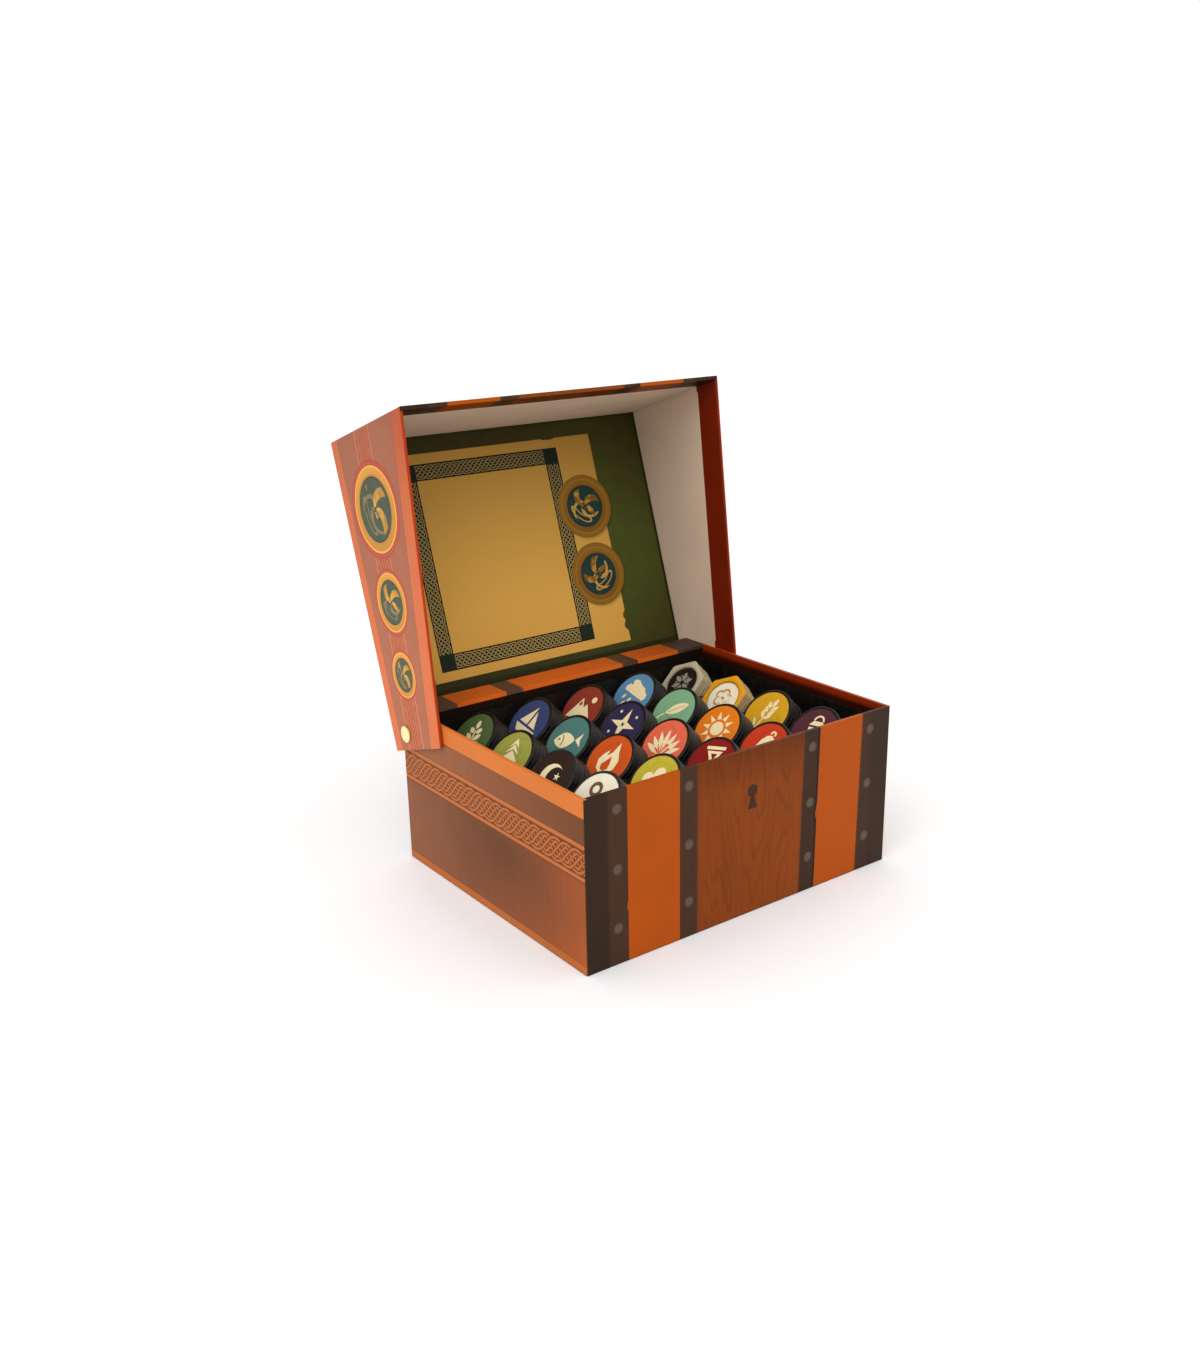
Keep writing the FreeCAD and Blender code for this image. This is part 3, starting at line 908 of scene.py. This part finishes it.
class STORAGEBOX_OT_lid(bpy.types.Operator):
    """Print the lid's panel, front wall and wings"""

    bl_idname = "storagebox.lid"
    bl_label = "Lid"

    def execute(self, context):
        dress("lid_shell", self.wrap(context.scene.storagebox_lid, context.scene.storagebox_base))
        return {"FINISHED"}

    def wrap(self, sizes, base):
        finish = Finish("lid_wrap", IOR=1.45, Specular_IOR_Level=0.1)
        x, _, _ = finish.xyz()
        up, out = lid_place(finish)
        rim = RIM_LOW + (up - LID_LOW) * ((RIM_HIGH - RIM_LOW) / (LID_TOP - LID_LOW))
        colours = [
            tuple(c)
            for c in (base.orange, base.strap, base.corner, base.wood_light, base.wood_dark, base.rivet)
        ]
        bands, heads = chest_bands(finish, x, HEIGHT - out, colours)
        top, _ = chest_bands(finish, x, HEIGHT + 3 - up, colours)
        wing = self.wing(finish, up, out, rim, sizes)
        # Painted light: the left side's turn-in takes the lighter rim colour, and the right side's takes the darker
        # turn-in colour.
        turned_in = finish.mix(x > 0, tuple(sizes.rim_left), tuple(sizes.turn_in))
        turned_in = finish.shaded(turned_in, 0.8 + finish.noise(0.08, 3.0) * 0.4)
        plain = finish.mix(out < 3.0, tuple(sizes.lining), tuple(sizes.panel_edge))
        inner = finish.mix(rim - out < 18.0, plain, turned_in)
        on_wing = abs(x) > 107.3
        on_panel = out < 0.3
        on_front = up > 168.8
        # Painted shade: the print carried over onto the front wall's turn-in, inside the lid, is painted at half
        # brightness; the rim's own edge keeps full brightness.
        colour = finish.mix((up > 166.6) * (rim - out < 18.0), inner, finish.shaded(bands, 0.5))
        colour = finish.mix((up > 166.6) * (rim - out < 0.4), colour, bands)
        colour = finish.mix(on_front, colour, bands)
        colour = finish.mix(on_panel, colour, top)
        colour = finish.mix(on_wing, colour, wing)
        rub = paper_tooth(finish)
        return finish.finish(colour, rub + 0.36)

    def wing(self, finish, up, out, rim, sizes):
        mottle = finish.noise(0.05, 3.0)
        field = finish.shaded(tuple(sizes.field), 0.88 + mottle * 0.24)
        border = finish.shaded(tuple(sizes.border), 0.9 + mottle * 0.2)
        middle = 26.2 + up * 0.0839
        off = out - middle
        cords = plait(finish, up, off, 4.31, 6.9, 1.3)
        knot = finish.mix(cords, finish.shaded(tuple(sizes.plait), 0.6), tuple(sizes.plait))
        colour = finish.mix(abs(off) < 6.9, field, knot)
        colour = finish.mix(finish.between(abs(off), 8.2, 9.1), colour, finish.shaded(tuple(sizes.plait), 1.3))
        paints = [tuple(c) for c in (sizes.ring, sizes.gold, sizes.disc, sizes.flame, sizes.vein)]
        for place_up, place_out, radius, turn in (
            (124.2, 37.9, 27.2, 0.3),
            (73.3, 33.2, 18.9, 0.9),
            (32.9, 29.3, 14.6, 0.5),
        ):
            colour, _ = medallion(finish, colour, out - place_out, up - place_up, radius, paints, turn)
        colour = finish.mix((out < 8.4) | (rim - out < 10.0), colour, border)
        red_top = finish.ramp(up, 110.0, 168.0) * (rim - out < 10.0)
        colour = finish.mix(red_top * 0.45, colour, tuple(sizes.rim_left))
        edge = finish.between(out, 8.4, 8.9) | finish.between(rim - out, 10.0, 10.5)
        colour = finish.mix(edge * 0.35, colour, finish.shaded(tuple(sizes.field), 0.7))
        # Painted shade: the whole wing is made up to a fifth darker towards its top.
        return finish.shaded(colour, 1 - finish.ramp(up, 30.0, 165.0) * 0.2)


class STORAGEBOX_OT_card(bpy.types.Operator):
    """Print the card inside the lid"""

    bl_idname = "storagebox.card"
    bl_label = "Lid card"

    def execute(self, context):
        sizes = context.scene.storagebox_card
        finish = Finish("card_print", IOR=1.45, Specular_IOR_Level=0.1)
        x, _, _ = finish.xyz()
        up, _ = lid_place(finish)
        green = tuple(sizes.green)
        mottle = finish.noise(0.02, 3.0)
        away = finish.ramp(abs(up - 82.0) + abs(x - 70) * 0.35 + mottle * 16, 30.0, 110.0)
        colour = finish.mix(away, green, tuple(sizes.shade))
        colour = finish.shaded(colour, 0.85 + finish.noise(0.15, 3.0) * 0.3)
        tear_top = finish.ramp(abs(x - 36.0), 5.5, 3.5) * (finish.noise(0.5, 2.0) * 1.6)
        tear_low = finish.ramp(abs(up - 35.5), 7.0, 4.0) * (finish.noise(0.22, 2.0, shift=(0, 3, 0)) * 5.0 - 0.9)
        right = 67.2 + (156.0 - up) * 0.006 - (tear_low | 0.0)
        top = 156.5 - tear_top
        on_sheet = (x > -75.6) * (x < right) * (up > 22.6) * (up < top)
        # Painted shade: this ramp is 1 low on the card and 0 at its top, and darkens the parchment and the frame
        # towards the top.
        top_shade = finish.ramp(up + (mottle - 0.5) * 40, 175.0, 60.0)
        sheet = finish.shaded(tuple(sizes.parchment), 0.6 + top_shade * 0.47 + (mottle - 0.5) * 0.1)
        colour = finish.mix(on_sheet, colour, sheet)
        frame_x = abs(x + 14.5)
        frame_up = abs(up - 89.4)
        in_frame = (frame_x < 55.5) * (frame_up < 61.1)
        in_text = (frame_x < 45.6) * (frame_up < 51.3)
        along_top = frame_up > 51.3
        for part, along, across in ((along_top, x + 14.5, frame_up - 56.2), (~along_top, up - 89.4, frame_x - 50.55)):
            cords = plait(finish, along, across, 2.36, 6.3, 0.8)
            paint = finish.mix(cords, tuple(sizes.frame_black), tuple(sizes.frame_line))
            band = paint if part is along_top else finish.mix(along_top, paint, band)
        edges = (frame_x > 54.6) | (frame_up > 60.2) | (frame_x < 46.4) * (frame_up < 52.1)
        band = finish.mix(edges, band, tuple(sizes.frame_black))
        corner = (frame_x > 45.2) * (frame_up > 50.9)
        # The frame takes the same painted shade towards the top.
        band = finish.shaded(finish.mix(corner, band, tuple(sizes.square)), 0.55 + top_shade * 0.5)
        colour = finish.mix(in_frame * (1 - in_text), colour, band)
        paints = [
            tuple(c) for c in (sizes.bronze, sizes.bronze, sizes.teal, sizes.bronze, sizes.parchment)
        ]
        for place_up, turn in ((111.5, 0.9), (68.1, 2.2)):
            shadow = finish.hypot(x - 54.3, up - place_up + 0.9)
            colour = finish.shaded(colour, 1 - finish.ramp(shadow, 21.0, 19.3) * 0.35)
            colour, _ = medallion(finish, colour, x - 53.7, up - place_up, 19.9, paints, turn)
        rub = paper_tooth(finish)
        dress("lid_card", finish.finish(colour, rub + 0.4))
        return {"FINISHED"}


class STORAGEBOX_OT_lining(bpy.types.Operator):
    """Line the lid's walls with plain paper"""

    bl_idname = "storagebox.lining"
    bl_label = "Lid lining"

    def execute(self, context):
        sizes = context.scene.storagebox_lid
        finish = Finish("lining_paper", IOR=1.45, Specular_IOR_Level=0.2)
        fibres = finish.noise(0.9, 4.0, roughness=0.7)
        cloud = finish.noise(0.03, 2.0)
        colour = finish.shaded(tuple(sizes.lining), 0.9 + cloud * 0.12 + fibres * 0.06)
        finish.relief(finish.noise(1.6, 3.0, roughness=0.7), 0.05)
        paper = finish.finish(colour, fibres * 0.1 + 0.72)
        for node in ("lid_lining_front", "lid_lining_left", "lid_lining_right"):
            dress(node, paper)
        return {"FINISHED"}


class STORAGEBOX_OT_rivets(bpy.types.Operator):
    """Turn the two brass hinge rivets"""

    bl_idname = "storagebox.rivets"
    bl_label = "Hinge rivets"

    def execute(self, context):
        finish = Finish("rivet_brass", Metallic=1.0)
        tarnish = finish.noise(0.5, 3.0)
        x, y, z = finish.xyz()
        rim = finish.ramp(finish.hypot(x, y), 4.5, 5.1)
        colour = finish.mix(finish.ramp(tarnish, 0.5, 0.85) * 0.5, srgb("fff0b4"), srgb("d2a95c"))
        colour = finish.mix(rim, colour, srgb("a8813c"))
        finish.relief(finish.noise(2.5, 2.0), 0.01)
        brass = finish.finish(colour, tarnish * 0.14 + 0.3)
        dome = [(5.2, 107.9), (5.2, 108.05)]
        for step in range(1, 9):
            angle = math.pi / 2 * step / 9
            dome.append((5.2 * math.cos(angle), 108.05 + 1.35 * math.sin(angle)))
        dome.append((0.35, 109.4))
        outline = [(4.4, 102.1), (4.4, 102.95), (2.5, 103.0), (2.5, 105.0), (5.2, 105.05), (5.2, 105.65)]
        outline += [(2.5, 105.7), (2.5, 107.9)] + dome
        for name, side in (("left", -1), ("right", 1)):
            shell = Shell()
            shell.take(turned([(r, h, 0) for r, h in outline], 64))
            place = Matrix.Translation(Vector(PIVOT) * MM) @ Matrix.Rotation(side * math.pi / 2, 4, "Y")
            rivet = mesh_object("brass_rivet_" + name, shell.mesh("brass_rivet_" + name), [brass], place)
            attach(rivet, "base")
            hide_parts("hinge_rivet_" + name)
        return {"FINISHED"}


class STORAGEBOX_OT_tray(bpy.types.Operator):
    """Give the moulded tray its black plastic"""

    bl_idname = "storagebox.tray"
    bl_label = "Token tray"

    def execute(self, context):
        finish = Finish("tray_plastic", IOR=1.5, Specular_IOR_Level=0.2)
        dust = finish.noise(0.2, 5.0, roughness=0.7)
        colour = finish.mix(finish.ramp(dust, 0.45, 0.9), srgb("0c0a08"), srgb("231e18"))
        finish.relief(finish.noise(1.2, 4.0, roughness=0.6), 0.05)
        dress("token_tray", finish.finish(colour, dust * 0.25 + 0.3))
        return {"FINISHED"}


def token_plastic():
    """Black plastic of the tokens' edges, mottled brown at random: partly rubbed plastic, partly painted glints."""
    finish = Finish("token_plastic", IOR=1.5, Specular_IOR_Level=0.28)
    rub = finish.noise(0.6, 4.0, roughness=0.65)
    # The brown patches stand partly for rubbed plastic and partly for painted glints on the edges.
    colour = finish.mix(finish.ramp(rub, 0.45, 0.8), srgb("0e0b09"), srgb("2c241c"))
    finish.relief(finish.noise(1.5, 3.0), 0.04)
    return finish.finish(colour, rub * 0.2 + 0.26)


def printed_face(name, colour, seed):
    """The coloured print of one token, with faint rings about a point off its middle."""
    finish = Finish("print_" + name, IOR=1.45, Specular_IOR_Level=0.15)
    x, y, _ = finish.xyz()
    chance = random.Random(seed)
    across = x - chance.uniform(-5, 5)
    up = y - chance.uniform(-6, 6)
    sway = finish.noise(0.12, 2.0, shift=(seed, 0, 0))
    out = finish.hypot(across, up) + sway * 5
    rings = finish.math("SINE", out * 1.35)
    faint = finish.ramp(rings, 0.0, 1.0) * finish.ramp(out, 15.0, 6.0)
    mottle = finish.noise(0.25, 4.0, shift=(0, seed, 0))
    paint = finish.shaded(colour, 1.04 - faint * 0.16 + (mottle - 0.5) * 0.2)
    rim = finish.ramp(finish.hypot(x, y), 14.2, 15.1)
    paint = finish.mix(rim * 0.35, paint, finish.shaded(colour, 0.6))
    finish.relief(finish.noise(1.4, 3.0), 0.03)
    return finish.finish(paint, mottle * 0.15 + 0.34)


def motif_ink(name, colour):
    finish = Finish(name, IOR=1.45, Specular_IOR_Level=0.15)
    mottle = finish.noise(0.4, 4.0)
    finish.relief(finish.noise(1.4, 3.0), 0.03)
    return finish.finish(finish.shaded(colour, 0.9 + mottle * 0.2), mottle * 0.15 + 0.36)


class STORAGEBOX_OT_tokens(bpy.types.Operator):
    """Stack the round tokens, each with its printed face"""

    bl_idname = "storagebox.tokens"
    bl_label = "Round tokens"

    def execute(self, context):
        sizes = context.scene.storagebox_tokens
        plastic = token_plastic()
        cream = motif_ink("motif_cream", tuple(sizes.cream))
        brown = motif_ink("motif_brown", srgb("6b4a2c"))
        for row, names in enumerate(LAYOUT):
            for column, name in enumerate(names):
                if name.startswith("hex_"):
                    continue
                seed = row * 5 + column + 1
                face = tuple(sizes.face_cream if name == "cream" else getattr(sizes, name))
                ink = brown if name == "cream" else cream
                shell = self.stack(sizes, name, seed)
                materials = [plastic, printed_face(name, face, seed), ink]
                piece = mesh_object("tokens_" + name, shell.mesh("tokens_" + name), materials, stack_place(row, column))
                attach(piece, "stack_" + name)
                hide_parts("stack_" + name)
        return {"FINISHED"}

    def stack(self, sizes, name, seed):
        """Five tokens with rounded edges, a little out of line, and the motif on the top one."""
        chance = random.Random(seed)
        shell = Shell()
        radius, pitch = sizes.radius, sizes.thickness
        for index in range(sizes.tokens):
            top = -index * pitch
            low = top - pitch + 0.06
            shift = (0, 0, 0)
            if index:
                turn = chance.uniform(0, 2 * math.pi)
                shift = (0.14 * math.cos(turn), 0.14 * math.sin(turn), 0)
            r = radius - (0.16 if index else 0.0)
            rings = [(r - 1.0, low, 0), (r - 0.45, low + 0.05, 0), (r - 0.12, low + 0.25, 0), (r, low + 0.55, 0)]
            rings += [(r, low + 1.1, 0), (r - 0.1, low + 1.25, 0), (r - 0.1, low + 1.4, 0), (r, low + 1.55, 0)]
            rings += [(r, top - 0.5, 0), (r - 0.12, top - 0.22, 0), (r - 0.4, top - 0.04, 0), (r - 0.7, top, 0)]
            if index == 0:
                f = sizes.face_radius
                rings += [(f + 0.25, top, 0), (f + 0.08, top - 0.04, 0), (f, top - 0.14, 0), (f - 0.02, top - 0.16, 1)]
            shell.take(turned(rings, 96), shift=shift)
        make, turn = MOTIFS[name]
        shell.take(inlay(make(), sizes.face_radius * 1.06, turn, -0.13, 0.06))
        return shell


class STORAGEBOX_OT_tiles(bpy.types.Operator):
    """Stack the six-sided tiles and lay a disc in each top one"""

    bl_idname = "storagebox.tiles"
    bl_label = "Six-sided tiles"

    def execute(self, context):
        sizes = context.scene.storagebox_tokens
        looks = {
            "hex_grey": (tuple(sizes.grey_tile), srgb("1d1a17"), srgb("8f897a"), 0, 4),
            "hex_gold": (tuple(sizes.gold_tile), srgb("eadfc4"), srgb("b98624"), 1, 4),
        }
        for name, (tile, disc_colour, ink_colour, row, column) in looks.items():
            board = self.board(name, tile)
            face = printed_face(name, disc_colour, 40 + row)
            ink = motif_ink("ink_" + name, ink_colour)
            place = stack_place(row, column)
            tiles = self.tiles().mesh(name + "_stack", 0.5)
            piece = mesh_object(name + "_stack", tiles, [board], place)
            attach(piece, name + "_stack")
            "grey_tile" if name == "hex_grey" else "gold_tile"
            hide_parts(name + "_tiles")
            shell = Shell()
            r = 10.85
            rings = [(r - 0.3, -1.98, 0), (r, -1.7, 0), (r, -0.8, 0), (r - 0.3, -0.52, 0), (r - 0.9, -0.5, 0)]
            shell.take(turned(rings, 96))
            make, turn = MOTIFS[name]
            shell.take(inlay(make(), 10.2, turn, -0.48, 0.05))
            mesh = shell.mesh(name + "_badge")
            badge = mesh_object(name + "_badge", mesh, [face, face, ink], place)
            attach(badge, name + "_stack")
            "grey_disc" if name == "hex_grey" else "white_disc"
            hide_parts(name + "_disc")
        return {"FINISHED"}

    def board(self, name, colour):
        """Thick card: a mottled face, and pale layers along the cut edges."""
        finish = Finish(name + "_card", IOR=1.45, Specular_IOR_Level=0.15)
        x, y, z = finish.xyz()
        speck = finish.noise(0.7, 5.0, roughness=0.7)
        face = finish.shaded(colour, 0.82 + speck * 0.36)
        layers = finish.noise(2.4, 3.0, (0.12, 0.12, 1.0))
        edge = finish.mix(finish.ramp(layers, 0.35, 0.65), srgb("8d7a58"), srgb("d9c79c"))
        edge = finish.mix(0.25, edge, colour)
        on_face = z > -0.3
        out = finish.hypot(x, y)
        # Painted shade on the tile's face round the edge of the recess, up to a third darker.
        well = finish.ramp(out, 12.6, 11.3)
        face = finish.shaded(face, 1 - well * 0.35)
        finish.relief(speck, 0.05)
        return finish.finish(finish.mix(on_face, edge, face), speck * 0.2 + 0.45)

    def tiles(self):
        """Six tiles with broken corners, and the round recess in the top one."""

        def six_sided(radius, angle):
            apothem = radius * math.cos(math.pi / 6)
            off = (angle + math.pi / 6) % (math.pi / 3) - math.pi / 6
            return min(apothem / math.cos(off), radius - 0.35)

        shell = Shell()
        pitch = 14.0 / 6
        chance = random.Random(7)
        for index in range(6):
            top = -index * pitch
            low = top - pitch + 0.1
            r = 16.5 if index == 0 else 16.35 - chance.uniform(0, 0.25)
            rings = [(r - 0.35, low, 0), (r - 0.08, low + 0.15, 0), (r, low + 0.4, 0), (r, top - 0.35, 0)]
            rings += [(r - 0.08, top - 0.12, 0), (r - 0.35, top, 0)]
            if index:
                shell.take(turned(rings, 96, six_sided))
                continue
            points, faces, slots = turned(rings, 96, six_sided, close_end=False)
            well = [(11.6, 0.0, 0), (11.2, -0.15, 0), (11.15, -1.99, 0)]
            inner, inner_faces, inner_slots = turned(well, 96, close_start=False)
            start = len(points)
            outer = (len(rings) - 1) * 96
            faces += [
                (outer + i, outer + (i + 1) % 96, start + (i + 1) % 96, start + i) for i in range(96)
            ]
            slots += [0] * 96
            faces += [tuple(i + start for i in face) for face in inner_faces]
            slots += inner_slots
            shell.take((points + inner, faces, slots))
        return shell


class STORAGEBOX_OT_stage(bpy.types.Operator):
    """Set the floor, the soft lights and the camera"""

    bl_idname = "storagebox.stage"
    bl_label = "Stage"

    def execute(self, context):
        sizes = context.scene.storagebox_stage
        context.scene.view_settings.view_transform = "Standard"
        self.floor()
        self.lights(context, sizes)
        self.camera(context, sizes)
        return {"FINISHED"}

    def floor(self):
        finish = Finish("floor_paper")
        cloud = finish.noise(0.004, 2.0)
        finish.relief(finish.noise(0.2, 2.0), 0.02)
        paper = finish.finish(finish.shaded((0.93, 0.93, 0.93), 0.98 + cloud * 0.03), cloud * 0.1 + 0.8)
        mesh = bpy.data.meshes.new("floor")
        mesh.from_pydata([(-6, -6, 0), (6, -6, 0), (6, 6, 0), (-6, 6, 0)], [], [(0, 1, 2, 3)])
        floor = mesh_object("floor", mesh, [paper])
        floor.location.z = -0.0003

    def lights(self, context, sizes):
        world = bpy.data.worlds.new("soft_room")
        world.use_nodes = True
        background = world.node_tree.nodes["Background"]
        background.inputs["Color"].default_value = (1, 1, 1, 1)
        background.inputs["Strength"].default_value = sizes.world
        context.scene.world = world
        light = bpy.data.lights.new("sun", "SUN")
        light.energy = sizes.sun
        light.angle = math.radians(sizes.spread)
        lamp = bpy.data.objects.new("sun", light)
        lamp.rotation_euler = Vector((-0.62, -0.42, 0.66)).to_track_quat("Z", "Y").to_euler()
        context.scene.collection.objects.link(lamp)

    def camera(self, context, sizes):
        """The photograph's viewing angle, from a camera fitted to the box's corners."""
        azimuth, height, roll = (math.radians(a) for a in (-36.249, 18.353, -1.113))
        back = Vector(
            (math.sin(azimuth) * math.cos(height), -math.cos(azimuth) * math.cos(height), math.sin(height))
        )
        right = (-back).cross(Vector((0, 0, 1))).normalized()
        up = right.cross(-back)
        tilted = right * math.cos(roll) + up * math.sin(roll)
        above = up * math.cos(roll) - right * math.sin(roll)
        data = bpy.data.cameras.new("camera")
        data.sensor_width = 36.0
        data.lens = sizes.lens
        data.clip_start = 0.01
        camera = bpy.data.objects.new("camera", data)
        place = (-0.441498, -0.561604, 0.341888)
        camera.matrix_world = Matrix(
            [(tilted[i], above[i], back[i], place[i]) for i in range(3)] + [(0, 0, 0, 1)]
        )
        context.scene.collection.objects.link(camera)
        context.scene.camera = camera


OPERATORS = (
    STORAGEBOX_OT_base,
    STORAGEBOX_OT_lid,
    STORAGEBOX_OT_card,
    STORAGEBOX_OT_lining,
    STORAGEBOX_OT_rivets,
    STORAGEBOX_OT_tray,
    STORAGEBOX_OT_tokens,
    STORAGEBOX_OT_tiles,
    STORAGEBOX_OT_stage,
)


class STORAGEBOX_PT_pieces(bpy.types.Panel):
    """The pieces of the storage box"""

    bl_label = "Storage box"
    bl_idname = "STORAGEBOX_PT_pieces"
    bl_space_type = "VIEW_3D"
    bl_region_type = "UI"
    bl_category = "Storage Box"

    def draw(self, context):
        for operator in OPERATORS:
            self.layout.operator(operator.bl_idname)


GROUPS = {
    "storagebox_base": BoxPrintSizes,
    "storagebox_lid": LidPrintSizes,
    "storagebox_card": CardSizes,
    "storagebox_tokens": TokenSizes,
    "storagebox_stage": StageSizes,
}


def register():
    for group in (*GROUPS.values(), *OPERATORS, STORAGEBOX_PT_pieces):
        bpy.utils.register_class(group)
    for name, group in GROUPS.items():
        setattr(bpy.types.Scene, name, bpy.props.PointerProperty(type=group))


def unregister():
    for name in GROUPS:
        delattr(bpy.types.Scene, name)
    for group in reversed((*GROUPS.values(), *OPERATORS, STORAGEBOX_PT_pieces)):
        bpy.utils.unregister_class(group)


def main():
    register()
    for operator in OPERATORS:
        category, name = operator.bl_idname.split(".")
        getattr(getattr(bpy.ops, category), name)()


if __name__ == "__main__":
    main()
